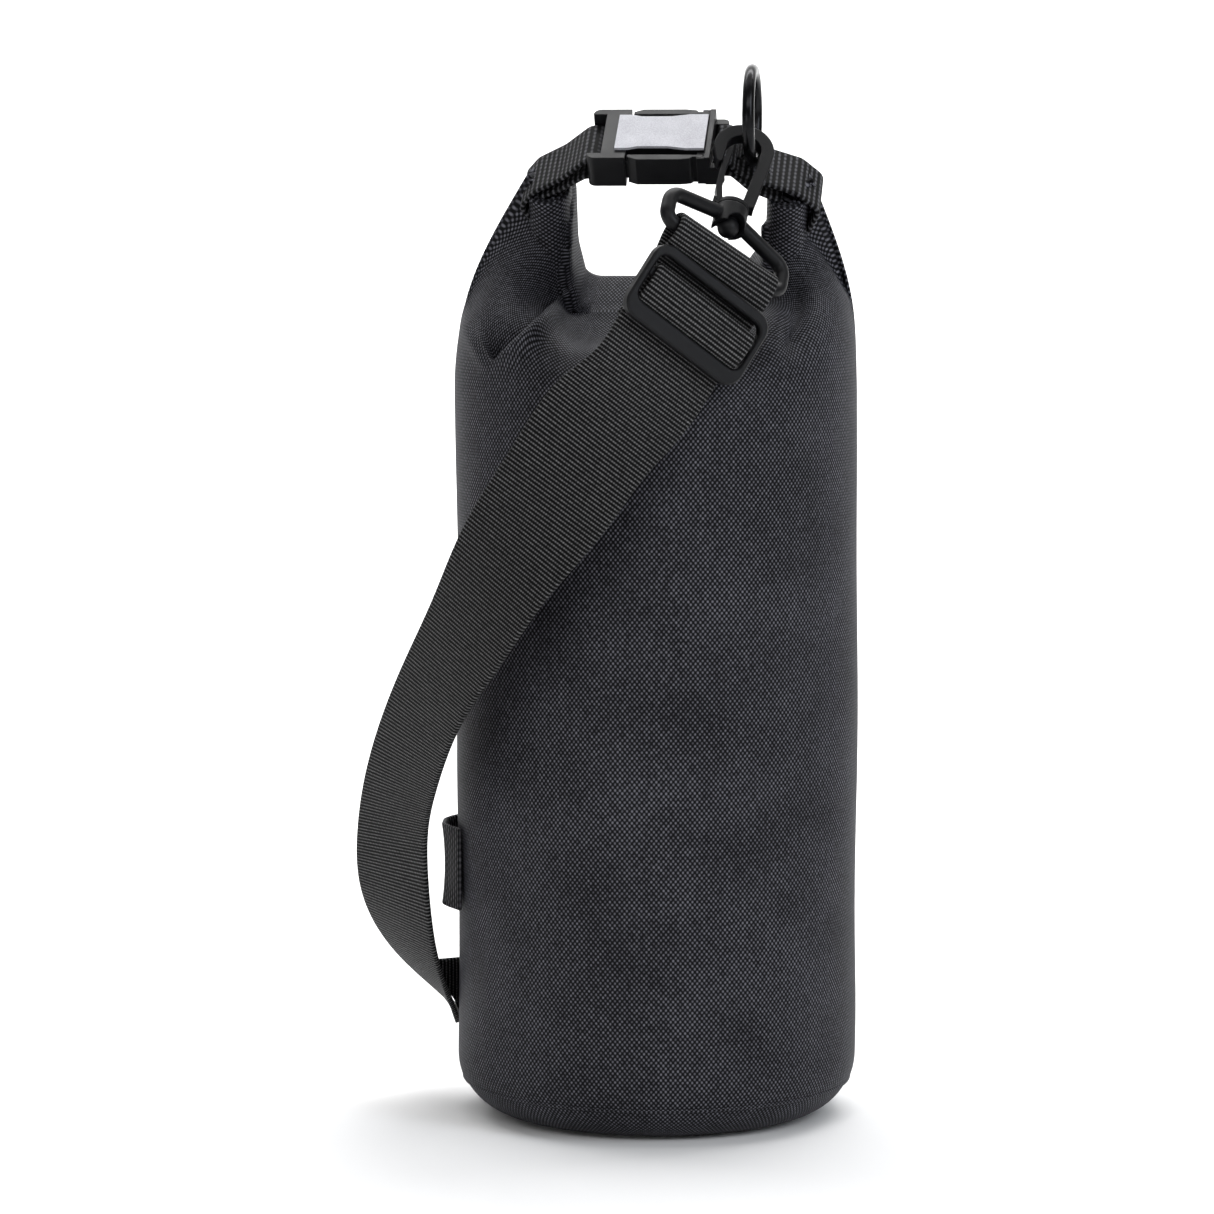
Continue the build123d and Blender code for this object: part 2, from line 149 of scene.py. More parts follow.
def rounded_path(points, radii, step=0.6):
    """A polyline with its corners rounded to radii, as evenly spaced points (any dimension)."""
    points = [np.array(p, float) for p in points]
    path = [points[0]]
    for before, corner, after, radius in zip(points, points[1:], points[2:], radii):
        a, b = unit(before - corner), unit(after - corner)
        angle = math.acos(np.clip(a @ b, -1, 1))
        reach = radius / math.tan(angle / 2)
        centre = corner + unit(a + b) * radius / math.sin(angle / 2)
        start, end = corner + a * reach, corner + b * reach
        turn = math.pi - angle
        count = max(2, int(turn * radius / (step * 0.6)) + 1)
        for k in range(count + 1):
            f = k / count
            blend = math.sin((1 - f) * turn) * (start - centre) + math.sin(f * turn) * (end - centre)
            path.append(centre + blend / math.sin(turn))
    path.append(points[-1])
    return resample(np.array(path), step)


def resample(path, step):
    """Points at even spacing along a polyline."""
    lengths = np.r_[0, np.cumsum(np.linalg.norm(np.diff(path, axis=0), axis=1))]
    count = max(2, int(round(lengths[-1] / step)) + 1)
    wanted = np.linspace(0, lengths[-1], count)
    return np.stack([np.interp(wanted, lengths, path[:, k]) for k in range(path.shape[1])], axis=1)


def smooth_through(stations, step):
    """A natural cubic spline through the stations, resampled at even steps along its first three columns."""
    stations = np.array(stations, float)
    knots = np.r_[0, np.cumsum(np.linalg.norm(np.diff(stations[:, :3], axis=0), axis=1))]
    n = len(knots)
    gaps = np.diff(knots)
    matrix = np.eye(n)
    right = np.zeros_like(stations)
    for i in range(1, n - 1):
        matrix[i, i - 1], matrix[i, i + 1] = gaps[i - 1], gaps[i]
        matrix[i, i] = 2 * (gaps[i - 1] + gaps[i])
        rise = (stations[i + 1] - stations[i]) / gaps[i] - (stations[i] - stations[i - 1]) / gaps[i - 1]
        right[i] = 6 * rise
    bend = np.linalg.solve(matrix, right)
    fine = np.linspace(0, knots[-1], int(knots[-1] / step) + 2)
    i = np.clip(np.searchsorted(knots, fine, side="right") - 1, 0, n - 2)
    h = gaps[i][:, None]
    a = (knots[i + 1] - fine)[:, None] / h
    b = (fine - knots[i])[:, None] / h
    curve = a * stations[i] + b * stations[i + 1]
    curve += ((a ** 3 - a) * bend[i] + (b ** 3 - b) * bend[i + 1]) * h ** 2 / 6
    return curve


def ribbon(name, centres, across, width, thickness, columns=14, crown=0.0):
    """Webbing along centres, its width along across, with rounded selvedges and closed ends."""
    centres = np.asarray(centres, float)
    across = np.broadcast_to(np.asarray(across, float), centres.shape)
    across = across / np.linalg.norm(across, axis=1)[:, None]
    tangent = np.gradient(centres, axis=0)
    tangent /= np.linalg.norm(tangent, axis=1)[:, None]
    normal = np.cross(tangent, across)
    normal /= np.linalg.norm(normal, axis=1)[:, None]
    half, ht = width / 2, thickness / 2
    flat = np.linspace(-half + ht, half - ht, columns + 1)
    ring = [(x, ht, x) for x in flat]
    ring += [(half - ht + ht * math.sin(a), ht * math.cos(a), half)
             for a in np.radians([30, 60, 90, 120, 150])]
    ring += [(x, -ht, x) for x in flat[::-1]]
    ring += [(-half + ht - ht * math.sin(a), ht * math.cos(a), -half)
             for a in np.radians([150, 120, 90, 60, 30])]
    ring = np.array(ring)
    bulge = crown * (1 - (ring[:, 0] / half) ** 2)
    along = np.r_[0, np.cumsum(np.linalg.norm(np.diff(centres, axis=0), axis=1))]
    verts, count = [], len(ring)
    for centre, x_dir, n_dir in zip(centres, across, normal):
        verts += list(centre + ring[:, :1] * x_dir + (ring[:, 1] + bulge)[:, None] * n_dir)
    faces, uvs = [], []
    for r in range(len(centres) - 1):
        for c in range(count):
            d = (c + 1) % count
            faces.append([r * count + c, r * count + d, (r + 1) * count + d, (r + 1) * count + c])
            u0, u1 = ring[c, 2], ring[d, 2]
            uvs += [(u0, along[r]), (u1, along[r]), (u1, along[r + 1]), (u0, along[r + 1])]
    for r, order in ((0, range(count)), (len(centres) - 1, reversed(range(count)))):
        faces.append([r * count + c for c in order])
        uvs += [(ring[c, 2], along[r] + ring[c, 1]) for c in faces[-1]] if r == 0 else \
            [(ring[c - r * count, 2], along[r] + ring[c - r * count, 1]) for c in faces[-1]]
    return tidy_mesh(make_object(name, verts, faces, uvs), merge_mm=0.001)


# ---------------------------------------------------------------- materials

class Nodes:
    """Small helper to wire a material's nodes."""

    def __init__(self, name):
        self.mat = bpy.data.materials.new(name)
        self.mat.use_nodes = True
        self.tree = self.mat.node_tree
        self.bsdf = self.tree.nodes["Principled BSDF"]

    def new(self, kind, **settings):
        node = self.tree.nodes.new(kind)
        for key, value in settings.items():
            if key in node.inputs:
                node.inputs[key].default_value = value
            else:
                setattr(node, key, value)
        return node

    def link(self, out, into):
        self.tree.links.new(out, into)

    def math(self, operation, a, b=None):
        node = self.tree.nodes.new("ShaderNodeMath")
        node.operation = operation
        for socket, value in zip(node.inputs, (a, b)):
            if value is None:
                continue
            if isinstance(value, (int, float)):
                socket.default_value = value
            else:
                self.link(value, socket)
        return node.outputs[0]

    def ramp(self, factor, stops):
        node = self.tree.nodes.new("ShaderNodeValToRGB")
        while len(node.color_ramp.elements) < len(stops):
            node.color_ramp.elements.new(0.5)
        for element, (position, colour) in zip(node.color_ramp.elements, stops):
            element.position = position
            element.color = (*colour, 1)
        self.link(factor, node.inputs["Fac"])
        return node.outputs["Color"]

    def cloth_uv(self):
        """U across and V along the cloth, in metres."""
        uv = self.new("ShaderNodeUVMap", uv_map="cloth")
        split = self.new("ShaderNodeSeparateXYZ")
        self.link(uv.outputs["UV"], split.inputs[0])
        return split.outputs["X"], split.outputs["Y"]

    def noise(self, scale, detail=3.0):
        coords = self.new("ShaderNodeTexCoord")
        node = self.new("ShaderNodeTexNoise", Scale=scale, Detail=detail)
        self.link(coords.outputs["Object"], node.inputs["Vector"])
        return node.outputs["Fac"]

    def bump(self, height, distance, strength=1.0, round_edges=0.0):
        node = self.new("ShaderNodeBump", Distance=distance, Strength=strength)
        if round_edges:
            edges = self.new("ShaderNodeBevel", Radius=round_edges)
            self.link(edges.outputs["Normal"], node.inputs["Normal"])
        self.link(height, node.inputs["Height"])
        self.link(node.outputs["Normal"], self.bsdf.inputs["Normal"])


def wave(n, coordinate, pitch, offset=0.0):
    """0 to 1 and back once for each pitch."""
    turn = n.math("MULTIPLY", coordinate, 2 * math.pi / pitch)
    if offset != 0.0:
        turn = n.math("ADD", turn, offset)
    return n.math("MULTIPLY", n.math("ADD", n.math("COSINE", turn), 1.0), 0.5)


def bag_fabric():
    """Coarse coated plain weave: staggered light crossings on charcoal."""
    n = Nodes("bag_fabric")
    u, v = n.cloth_uv()
    pitch_u, pitch_v = 0.00150, 0.00182
    one = n.math("MULTIPLY", wave(n, u, pitch_u), wave(n, v, pitch_v))
    two = n.math("MULTIPLY", wave(n, u, pitch_u, math.pi), wave(n, v, pitch_v, math.pi))
    dots = n.math("ADD", n.math("POWER", one, 1.4), n.math("POWER", two, 1.4))
    uneven = n.noise(900.0, 2.0)
    patchy = n.noise(38.0, 3.0)
    lit = n.math("MULTIPLY", dots, n.math("ADD", n.math("MULTIPLY", uneven, 1.3), 0.25))
    lit = n.math("MULTIPLY", lit, n.math("ADD", n.math("MULTIPLY", patchy, 0.7), 0.65))
    colour = n.ramp(lit, [(0.0, (0.0010, 0.0010, 0.0013)), (0.25, (0.0045, 0.0045, 0.0060)),
                          (1.0, (0.150, 0.150, 0.172))])
    n.link(colour, n.bsdf.inputs["Base Color"])
    n.link(n.math("ADD", n.math("MULTIPLY", uneven, 0.16), 0.52), n.bsdf.inputs["Roughness"])
    n.bsdf.inputs["Specular IOR Level"].default_value = 0.08
    n.bump(dots, 0.00014, 0.8)
    return n.mat


def webbing(name, rib_pitch, thread_pitch, light):
    """Woven strap: thin bright ribs across it, beaded where the lengthwise threads cross them."""
    n = Nodes(name)
    u, v = n.cloth_uv()
    rib = n.math("POWER", wave(n, v, rib_pitch), 1.5)
    row = n.math("MODULO", n.math("FLOOR", n.math("ADD", n.math("DIVIDE", v, rib_pitch), 0.5)), 2.0)
    thread = wave(n, n.math("ADD", u, n.math("MULTIPLY", row, thread_pitch / 2)), thread_pitch)
    weave = n.math("MULTIPLY", rib, n.math("ADD", n.math("MULTIPLY", thread, 0.5), 0.5))
    uneven = n.noise(1100.0, 2.0)
    lit = n.math("MULTIPLY", weave, n.math("ADD", n.math("MULTIPLY", uneven, 1.2), 0.35))
    colour = n.ramp(lit, [(0.0, (0.0010, 0.0010, 0.0010)), (0.22, (0.0040, 0.0040, 0.0042)), (1.0, light)])
    n.link(colour, n.bsdf.inputs["Base Color"])
    n.link(n.math("ADD", n.math("MULTIPLY", uneven, 0.2), 0.55), n.bsdf.inputs["Roughness"])
    n.bsdf.inputs["Specular IOR Level"].default_value = 0.08
    n.bump(weave, 0.00018, 0.8)
    return n.mat


def plastic(name, base, rough, grain):
    """Moulded plastic: fine moulding grain, faint scuffs, softened edges."""
    n = Nodes(name)
    grainy = n.noise(2600.0, 2.0)
    scuff = n.noise(160.0, 5.0)
    colour = n.ramp(scuff, [(0.3, base), (0.75, tuple(c * 1.5 + 0.001 for c in base))])
    n.link(colour, n.bsdf.inputs["Base Color"])
    value = n.math("ADD", n.math("MULTIPLY", scuff, 0.18), rough)
    n.link(n.math("ADD", value, n.math("MULTIPLY", grainy, 0.08)), n.bsdf.inputs["Roughness"])
    n.bsdf.inputs["Specular IOR Level"].default_value = 0.2
    n.bump(grainy, grain, 0.5, round_edges=0.0005)
    return n.mat


def plate_metal():
    """Fine bead-blasted light metal face."""
    n = Nodes("plate_metal")
    speck = n.noise(3000.0, 2.0)
    cloud = n.noise(120.0, 3.0)
    mixed = n.math("ADD", n.math("MULTIPLY", speck, 0.7), n.math("MULTIPLY", cloud, 0.3))
    colour = n.ramp(mixed, [(0.35, (0.27, 0.27, 0.295)), (0.65, (0.46, 0.46, 0.49))])
    n.link(colour, n.bsdf.inputs["Base Color"])
    n.bsdf.inputs["Metallic"].default_value = 0.25
    n.link(n.math("ADD", n.math("MULTIPLY", speck, 0.25), 0.42), n.bsdf.inputs["Roughness"])
    n.bump(speck, 0.00006, 0.6)
    return n.mat


def ring_coat():
    """Gloss black plated steel."""
    n = Nodes("ring_coat")
    wear = n.noise(220.0, 4.0)
    colour = n.ramp(wear, [(0.4, (0.006, 0.006, 0.007)), (0.8, (0.02, 0.02, 0.021))])
    n.link(colour, n.bsdf.inputs["Base Color"])
    n.bsdf.inputs["Metallic"].default_value = 0.85
    n.link(n.math("ADD", n.math("MULTIPLY", wear, 0.14), 0.17), n.bsdf.inputs["Roughness"])
    n.bump(n.noise(1500.0, 2.0), 0.00003, 0.3)
    return n.mat


def dress(obj, material):
    obj.data.materials.clear()
    obj.data.materials.append(material)
    return obj


FABRIC = bag_fabric()
STRAP_WEB = webbing("strap_webbing", 0.00124, 0.00088, (0.150, 0.150, 0.152))
CLOSURE_WEB = webbing("closure_webbing", 0.0019, 0.0021, (0.110, 0.110, 0.120))
BLACK = plastic("black_plastic", (0.0022, 0.0022, 0.0028), 0.30, 0.00004)
STIFFENER = plastic("stiffener_plastic", (0.09, 0.09, 0.09), 0.4, 0.00003)
PLATE = plate_metal()
RING = ring_coat()


# ---------------------------------------------------------------- the rolled mouth's path in the arch plane

LEFT_TIP, RIGHT_TIP = (-30.6, 54.0), (45.4, 52.5)
U_POINTS = [LEFT_TIP, (-32, 22), (-29, 0), (0, 0), (30, 1.5), (43, 22), RIGHT_TIP]
U_PATH = rounded_path(U_POINTS, [40, 12, 60, 22, 40], 0.5)
U_LENGTH = (len(U_PATH) - 1) * 0.5


def u_frame(s):
    """Point and concave-side normal of the rolled mouth at fraction s, in the arch plane (x, z)."""
    index = np.clip(np.asarray(s, float), 0, 1) * (len(U_PATH) - 1)
    low = np.clip(index.astype(int), 0, len(U_PATH) - 2)
    point = U_PATH[low] + (U_PATH[low + 1] - U_PATH[low]) * (index - low)[..., None]
    ahead = U_PATH[np.clip(low + 4, 0, len(U_PATH) - 1)] - U_PATH[np.clip(low - 3, 0, len(U_PATH) - 1)]
    ahead /= np.linalg.norm(ahead, axis=-1)[..., None]
    normal = np.stack([-ahead[..., 1], ahead[..., 0]], axis=-1)
    return point, normal


def on_roll(s, depth, rise):
    """A point by the rolled mouth: s along it, depth across it, rise towards its concave side."""
    point, normal = u_frame(s)
    place = point + normal * np.asarray(rise, float)[..., None]
    return ARCH.at(place[..., 0], depth, place[..., 1])


def smoothstep(low, high, value):
    t = np.clip((np.asarray(value, float) - low) / (high - low), 0, 1)
    return t * t * (3 - 2 * t)


# ---------------------------------------------------------------- bag skin

def cubic(a, b, c, d, t):
    return (1 - t) ** 3 * a + 3 * t * (1 - t) ** 2 * b + 3 * t * t * (1 - t) * c + t ** 3 * d


def skin_half(front):
    """Points and cloth coordinates of the front or back half of the bag above the seam."""
    columns = 181
    share = np.linspace(0, 1, columns)
    theta = math.pi + share * math.pi if front else math.pi - share * math.pi
    cos_t, sin_t = np.cos(theta), np.sin(theta)
    rows = []
    fillet_start = math.asin((BASE_FILLET - SEAM_Z) / BASE_FILLET)
    for angle in np.linspace(fillet_start, 0, 6):
        radius = BAG_R - BASE_FILLET * (1 - math.cos(angle))
        rows.append(np.stack([radius * cos_t, radius * sin_t,
                              np.full(columns, BASE_FILLET - BASE_FILLET * math.sin(angle))], axis=1))
    for z in np.linspace(BASE_FILLET, TUBE_TOP, 80)[1:]:
        rows.append(np.stack([BAG_R * cos_t, BAG_R * sin_t, np.full(columns, z)], axis=1))
    start = rows[-1]
    ear = 1 - smoothstep(0.25, 0.37, share) + smoothstep(0.63, 0.75, share)
    from_tip = np.minimum(share, 1 - share)
    edge = np.sqrt(1 - (1 - np.clip(from_tip / 0.07, 0, 1)) ** 2)
    if front:
        depth = -edge * (ROLL_HALF * ear + (1 - ear) * 8.5) * (0.55 + 0.45 * smoothstep(0.0, 0.2, from_tip))
        rise = -ROLL_T * (1 - edge) + edge * (ear * 3.0 + (1 - ear) * 7.4)
    else:
        depth = ROLL_HALF * edge
        rise = -ROLL_T * (1 - edge) + edge * (ear * -3.0 + (1 - ear) * 1.0)
    target = on_roll(share, depth, rise)
    shoulder = np.array([-1, 0, 0]) * smoothstep(0.3, 0.0, share)[:, None] \
        + np.array([1, 0, 0]) * smoothstep(0.7, 1.0, share)[:, None]
    corner = start + np.array([0, 0, 1.0]) * (CORNER_Z - TUBE_TOP) + shoulder * 0.6
    if front:
        sweep = ARCH.y * 0.92 + np.array([0, 0, 0.2])
        middle_low = start + np.array([0, 0, 30.0])
        middle_high = target - 24 * sweep / np.linalg.norm(sweep)
    else:
        sweep = unit(-ARCH.y * 0.35 + np.array([0, 0, 0.9]))
        middle_low = start + np.array([0, 0, 26.0])
        middle_high = target - 10 * sweep
    side = ear[:, None]
    handle_low = side * (start + (corner - start) * 0.94) + (1 - side) * middle_low
    handle_high = side * (target + (corner - target) * 0.80) + (1 - side) * middle_high
    for t in np.linspace(0, 1, 69)[1:]:
        rows.append(cubic(start, handle_low, handle_high, target, t))
    if front:
        over = [(-0.95, 5.2), (-0.86, 6.6), (-0.7, 7.3), (-0.35, 7.6), (0.0, 7.7), (0.4, 7.6), (0.75, 7.3),
                (0.95, 6.2), (1.02, 4.2), (1.02, 2.4)]
        for across, height in over:
            here = np.maximum(depth, across * ROLL_HALF)
            here = depth + (here - depth) * edge
            high = np.where(here > depth + 0.01, height, rise)
            high = -ROLL_T * (1 - edge) + edge * high
            rows.append(on_roll(share, here, high))
    points = np.array(rows)
    steps = np.linalg.norm(np.diff(points, axis=0), axis=2).mean(axis=1)
    along = np.r_[0, np.cumsum(steps)]
    uv = np.zeros((len(rows), columns, 2))
    uv[..., 0] = theta[None, :] * BAG_R
    uv[..., 1] = along[:, None]
    return points, uv


# The pocket at the left shoulder and the crease at the right ear, as (x, z) points on the front.
POCKET_CORNER = np.array([-52.0, 242.0])
POCKET_LIP_END = np.array([-24.8, 267.0])
POCKET_SIDE_END = np.array([-62.9, 261.3])
RIGHT_CREASE = [(60.5, 262.5), (56, 271), (50.8, 277.5), (42, 282.5), (31.6, 286)]


def ridge(value, width):
    return np.exp(-(np.asarray(value, float) / width) ** 2)


def fold_offset(points, line, lip, valley, reach):
    """Outward push for a tuck along a line of (x, z) points: a raised lip below it, a sharp valley above it.
    The valley deepens from the line's first point to its last and fades past the end."""
    line = resample(np.array(line, float), 1.0)
    flat = points[..., [0, 2]]
    gaps = np.linalg.norm(flat[:, :, None, :] - line[None, None], axis=3)
    nearest = gaps.argmin(axis=2)
    heading = np.gradient(line, axis=0)
    heading /= np.linalg.norm(heading, axis=1)[:, None]
    off = flat - line[nearest]
    side = off[..., 0] * -heading[nearest][..., 1] + off[..., 1] * heading[nearest][..., 0]
    past = np.abs(off[..., 0] * heading[nearest][..., 0] + off[..., 1] * heading[nearest][..., 1])
    fade = smoothstep(reach, 0, past) * (0.35 + 0.65 * nearest / (len(line) - 1))
    above = -side
    push = lip * ridge(np.minimum(above + 2.2, 0), 5)
    push = push * smoothstep(0.6, -1.6, above) * smoothstep(-16, -2, above)
    push = push - valley * smoothstep(-1.0, 1.9, above) * np.exp(-np.maximum(above - 1.9, 0) / 6)
    return push * fade * smoothstep(4, -12, points[..., 1])


def pocket(points):
    """Moves for the dent between two crests that meet at its lowest corner, a sharp lip and a soft side."""
    from_corner = points[..., [0, 2]] - POCKET_CORNER
    lip, side = unit(POCKET_LIP_END - POCKET_CORNER), unit(POCKET_SIDE_END - POCKET_CORNER)
    above_lip = lip[0] * from_corner[..., 1] - lip[1] * from_corner[..., 0]
    inside = side[1] * from_corner[..., 0] - side[0] * from_corner[..., 1]
    along_lip, along_side = from_corner @ lip, from_corner @ side
    dent = smoothstep(-0.5, 1.6, above_lip) * smoothstep(-0.5, 4.0, inside)
    dent = 12.0 * dent * np.exp(-np.maximum(above_lip - 1.6, 0) / 9) * smoothstep(44, 4, along_lip)
    lip_crest = 3.0 * ridge(above_lip + 2.2, 2.6)
    lip_crest = lip_crest * smoothstep(46, 20, along_lip) * smoothstep(-4, 6, along_lip)
    side_crest = 1.2 * ridge(inside + 2.4, 2.4)
    side_crest = side_crest * smoothstep(28, 12, along_side) * smoothstep(-4, 4, along_side)
    moves = ((dent, (0, 0.85, -0.5)), (lip_crest, (0, -0.45, 0.9)), (side_crest, (-0.6, -0.8, 0)))
    total = sum(size[..., None] * np.array(way) for size, way in moves)
    return total * smoothstep(4, -12, points[..., 1])[..., None]


def grid_normals(points):
    rows = np.gradient(points, axis=0)
    columns = np.gradient(points, axis=1)
    normal = np.cross(columns, rows)
    length = np.linalg.norm(normal, axis=2)[..., None]
    return normal / np.maximum(length, 1e-9)


def gentle_waves(points):
    """Slow unevenness of stuffed fabric, in millimetres."""
    x, y, z = points[..., 0], points[..., 1], points[..., 2]
    angle = np.arctan2(y, x)
    return (0.35 * np.sin(3 * angle + 0.021 * z) + 0.30 * np.sin(5 * angle - 0.034 * z + 1.3)
            + 0.22 * np.sin(0.06 * z + 2 * angle + 0.7))


def build_skin():
    halves = []
    for front in (True, False):
        points, uv = skin_half(front)
        normal = grid_normals(points)
        if not front:
            normal = -normal
        z = points[..., 2]
        calm = smoothstep(SEAM_Z, 40, z) * smoothstep(262, 235, z)
        push = gentle_waves(points) * calm
        if front:
            push = push + fold_offset(points, RIGHT_CREASE, 0.9, 2.4, 6)
            push = push - 6.0 * ridge(np.hypot(points[..., 0] - 42.5, (z - 255) * 0.5), 5)
            push = push - 1.3 * ridge(points[..., 0] - 37 - 0.8 * (296 - z), 2.6) * smoothstep(254, 268, z)
        dented = pocket(points) if front else 0
        points = points + normal * push[..., None] + dented
        halves.append((points, uv))
    verts, faces, uvs, base = [], [], [], 0
    for (points, uv), flip in zip(halves, (False, True)):
        rows, columns, _ = points.shape
        verts.append(points.reshape(-1, 3))
        for r in range(rows - 1):
            for c in range(columns - 1):
                corners = [(r, c), (r, c + 1), (r + 1, c + 1), (r + 1, c)]
                if flip:
                    corners = corners[::-1]
                faces.append([base + a * columns + b for a, b in corners])
                uvs += [uv[a, b] for a, b in corners]
        base += rows * columns
    skin = make_object("bag_skin", np.concatenate(verts), faces, uvs)
    tidy_mesh(skin, 0.05)
    shell = skin.modifiers.new("fabric_thickness", "SOLIDIFY")
    shell.thickness = FABRIC_T * MM
    shell.offset = -1
    dress(skin, FABRIC)
    return skin


def build_base():
    """Welded round base: flat panel, rounded edge and the bead where it meets the tube."""
    profile = []
    for radius in np.linspace(1.0, BAG_R - BASE_FILLET, 12):
        dish = 1.0 * ridge(radius, 26)
        profile.append((radius, 0.02 + dish * 0.6))
    top_angle = math.acos((BASE_FILLET - SEAM_Z) / BASE_FILLET)
    for angle in np.linspace(0, top_angle, 14)[1:]:
        profile.append((BAG_R - BASE_FILLET + (BASE_FILLET - 0.35) * math.sin(angle),
                        0.35 + (BASE_FILLET - 0.35) * (1 - math.cos(angle))))
    edge_r, edge_z = profile[-1]
    profile += [(edge_r + 0.15, edge_z + 0.4), (edge_r - 0.5, edge_z + 1.4), (edge_r - 1.4, edge_z + 1.4)]
    columns = 241
    theta = np.linspace(0, 2 * math.pi, columns)
    points = np.array([[(r * math.cos(a), r * math.sin(a), z) for a in theta] for r, z in profile])
    along = np.r_[0, np.cumsum(np.linalg.norm(np.diff(np.array(profile), axis=0), axis=1))]
    uv = np.zeros((len(profile), columns, 2))
    uv[..., 0] = points[..., 0]
    uv[..., 1] = points[..., 1]
    band = len(profile) - 17
    uv[band:, :, 0] = theta[None, :] * BAG_R
    uv[band:, :, 1] = along[band:, None]
    base = grid_object("base_skin", points, uv, close_columns=True)
    bm = bmesh.new()
    bm.from_mesh(base.data)
    layer = bm.loops.layers.uv["cloth"]
    inner = [e for e in bm.edges if e.is_boundary and all(v.co.xy.length < 2 * MM for v in e.verts)]
    filled = bmesh.ops.contextual_create(bm, geom=inner)
    for face in filled["faces"]:
        face.smooth = True
        for loop in face.loops:
            loop[layer].uv = loop.vert.co.xy
    bmesh.ops.recalc_face_normals(bm, faces=bm.faces)
    bm.to_mesh(base.data)
    bm.free()
    shell = base.modifiers.new("fabric_thickness", "SOLIDIFY")
    shell.thickness = FABRIC_T * MM
    shell.offset = -1
    return dress(base, FABRIC)


def build_seam():
    """The welded lip of the tube over the base panel."""
    top_angle = math.asin((BASE_FILLET - SEAM_Z) / BASE_FILLET)
    radius = BAG_R - BASE_FILLET + BASE_FILLET * math.cos(top_angle)
    columns, around = 241, 12
    theta = np.linspace(0, 2 * math.pi, columns)
    turn = np.linspace(0, 2 * math.pi, around + 1)
    points = np.zeros((around + 1, columns, 3))
    for k, angle in enumerate(turn):
        r = radius - 0.3 + 0.5 * math.cos(angle)
        z = SEAM_Z + SEAM_LIP_R * math.sin(angle)
        points[k] = np.stack([r * np.cos(theta), r * np.sin(theta), np.full(columns, z)], axis=1)
    uv = np.zeros((around + 1, columns, 2))
    uv[..., 0] = theta[None, :] * BAG_R
    uv[..., 1] = turn[:, None] * SEAM_LIP_R
    lip = grid_object("seam_lip", points, uv, close_columns=True)
    return dress(lip, FABRIC)


def build_roll():
    """The mouth rolled over on itself: a flattened spiral of fabric along the U-shaped path."""
    turns, steps = 2.75, 84
    section = []
    for k in range(steps + 1):
        f = k / steps
        angle = 2 * math.pi * turns * f + math.pi * 0.5
        half_width = 12.9 - 0.8 * turns * f
        half_height = 6.6 - 1.75 * turns * f
        c, s = math.cos(angle), math.sin(angle)
        section.append((half_width * np.sign(c) * abs(c) ** 0.55, half_height * np.sign(s) * abs(s) ** 0.8))
    section = resample(np.array(section), 1.4)
    share = np.linspace(0.012, 0.988, 150)
    points = np.stack([on_roll(share, np.full(150, d), np.full(150, r)) for d, r in section])
    lengths = np.r_[0, np.cumsum(np.linalg.norm(np.diff(section, axis=0), axis=1))]
    uv = np.zeros((len(section), 150, 2))
    uv[..., 0] = share[None, :] * U_LENGTH
    uv[..., 1] = lengths[:, None]
    roll = grid_object("rolled_mouth", points, uv)
    tidy_mesh(roll, 0.001)
    shell = roll.modifiers.new("fabric_thickness", "SOLIDIFY")
    shell.thickness = (FABRIC_T + 0.1) * MM
    shell.offset = 0
    return dress(roll, FABRIC)


# ---------------------------------------------------------------- webbing

def in_arch(points):
    points = np.asarray(points, float)
    return ARCH.at(points[:, 0], np.zeros(len(points)), points[:, 1])


def closure_webbing():
    left = rounded_path([(-35.0, 42.5), (-39.2, 48.0), (-34.6, 53.6), (-25.6, 58.6), (-17.4, 65.4),
                         (-13.4, 65.6), (-13.4, 60.6), (-18.4, 59.4), (-26.2, 54.6), (-34, 51.0)],
                        [2.5, 6, 10, 4, 1.1, 1.1, 3, 6], 0.45)
    right = rounded_path([(50.9, 38.7), (54.8, 46.5), (48.2, 53.1), (36.9, 57.4), (29.2, 61.69), (26.9, 65.6),
                          (22.95, 65.6), (22.95, 60.8), (28.0, 60.6), (33.5, 54.8), (43.0, 50.0)],
                         [3, 5, 12, 2.5, 1.2, 1.1, 1.1, 2, 8], 0.45)
    pieces = []
    for name, path in (("closure_webbing_l", left), ("closure_webbing_r", right)):
        piece = ribbon(name, in_arch(path), ARCH.y, CLOSURE_W, CLOSURE_T, 10)
        pieces.append(dress(piece, CLOSURE_WEB))
    return pieces


def keeper():
    """Narrow loop over the ring's wire."""
    seat = Local(ARCH.at(34.5, 0, 59.34), -0.858 * ARCH.x + 0.5135 * ARCH.z, 0.5135 * ARCH.x + 0.858 * ARCH.z)
    path = rounded_path([(-5.4, 0.5), (-2.6, 0.5), (-2.2, 5.7), (4.7, 5.7), (5.1, 0.5), (6.4, 0.5)],
                        [1.0, 2.9, 2.9, 0.6], 0.35)
    centres = seat.at(path[:, 0], np.zeros(len(path)), path[:, 1])
    return dress(ribbon("keeper_loop", centres, ARCH.y, 8.0, 0.9, 6), CLOSURE_WEB)


